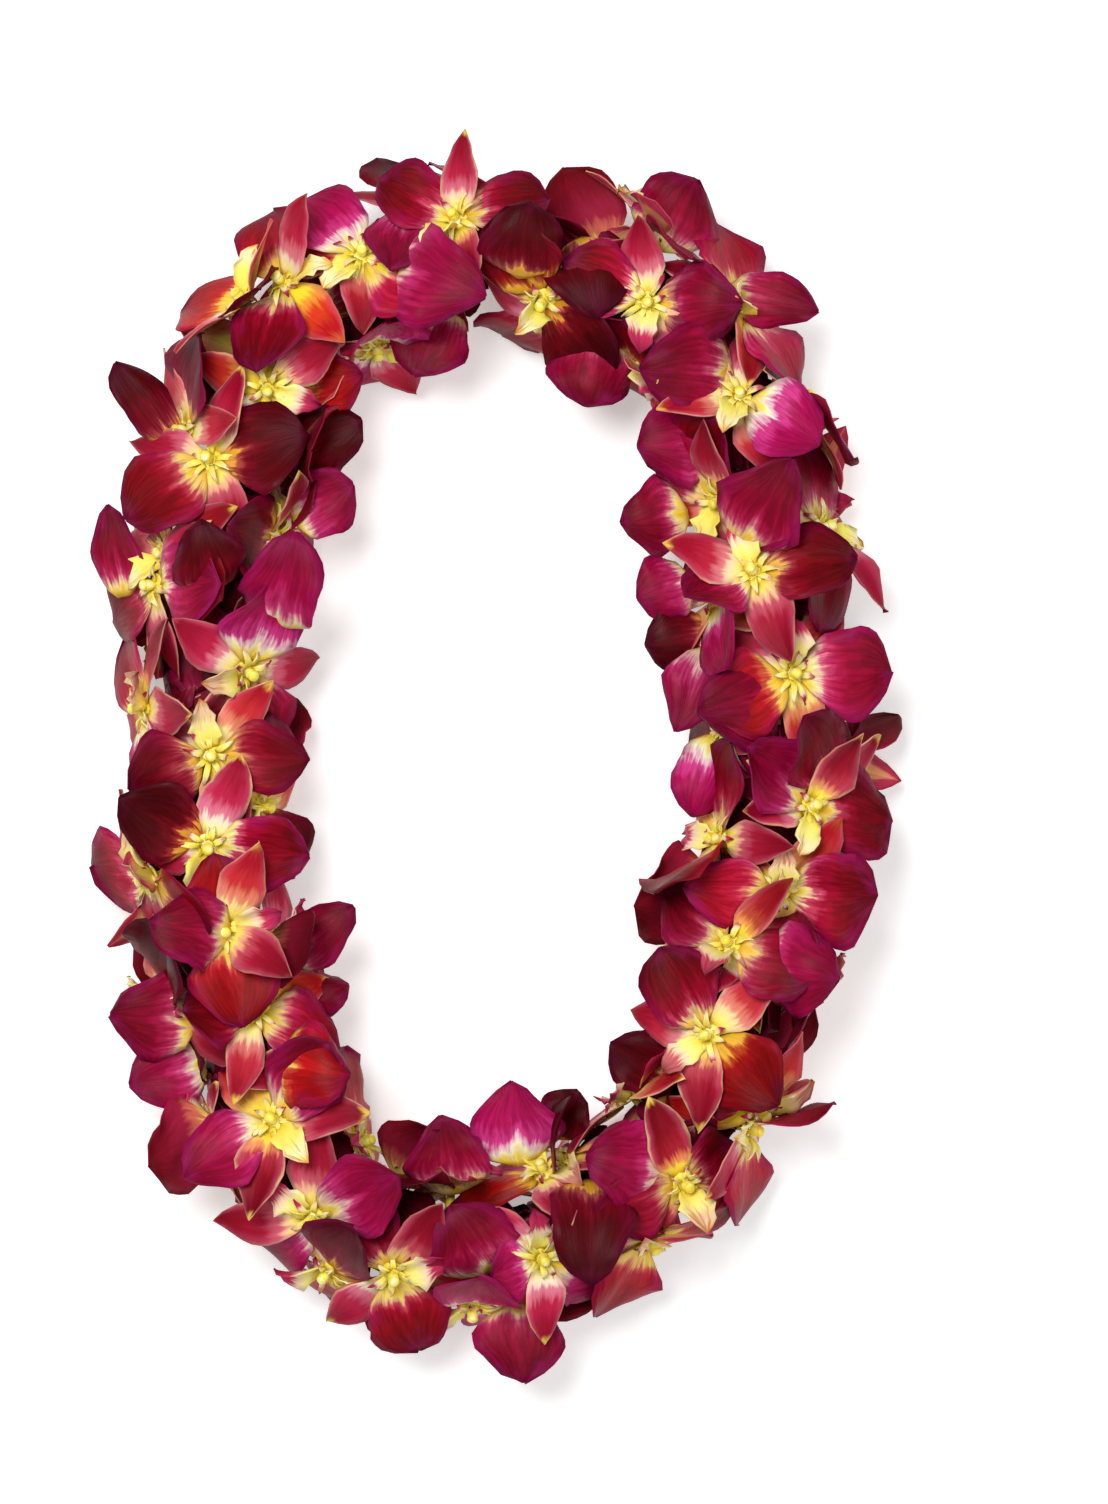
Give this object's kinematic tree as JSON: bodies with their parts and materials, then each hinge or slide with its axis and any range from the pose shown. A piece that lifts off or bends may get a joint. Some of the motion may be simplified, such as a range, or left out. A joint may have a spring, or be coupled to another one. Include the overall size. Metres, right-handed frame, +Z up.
{
  "type": "fresh flower lei",
  "caption": "Strung flower lei laid as an oval: orchid blooms facing all round a thread, a neck garland of crimson and magenta orchids with pale yellow hearts",
  "frame": {"origin": "the middle of the whole lei's box in X and Y, on the surface that it lies on", "axes": "+Z is up from the surface; +Y is along the oval's long way, towards the end that is at the top of the picture; +X is across the oval, to the picture's right"},
  "size_m": [0.3048, 0.452, 0.073],
  "materials": {
    "petals": "fresh petals, deep crimson to magenta, softly sheened, as velvet",
    "sepals": "fresh sepals, pink with cream margins, softly sheened",
    "lips": "fresh lips, magenta with a pale yellow throat, softly sheened",
    "hearts": "fresh columns, pale yellow to cream, slightly waxy",
    "necks": "fresh flower necks and pierced bases, pale yellow-green, slightly waxy",
    "thread": "natural cotton thread, matt"
  },
  "bodies": {
    "root": {"blooms_01": "petals", "blooms_02": "petals", "blooms_03": "petals", "blooms_04": "petals", "blooms_05": "petals", "blooms_06": "petals", "blooms_07": "petals", "blooms_08": "petals", "blooms_09": "petals", "blooms_10": "petals", "blooms_11": "petals", "blooms_12": "petals", "blooms_13": "petals", "blooms_14": "petals", "blooms_15": "petals", "blooms_16": "petals", "blooms_17": "petals", "blooms_18": "petals", "blooms_19": "petals", "blooms_20": "petals", "blooms_21": "petals", "blooms_22": "petals", "blooms_23": "petals", "blooms_24": "petals", "blooms_25": "petals", "blooms_26": "petals", "blooms_27": "petals", "blooms_28": "petals", "blooms_29": "petals", "blooms_30": "petals", "blooms_31": "petals", "blooms_32": "petals", "blooms_33": "petals", "blooms_34": "petals", "blooms_35": "petals", "blooms_36": "petals", "blooms_37": "petals", "blooms_38": "petals", "blooms_39": "petals", "blooms_40": "petals", "blooms_41": "petals", "blooms_42": "petals", "thread": "thread"}
  },
  "joints": []
}
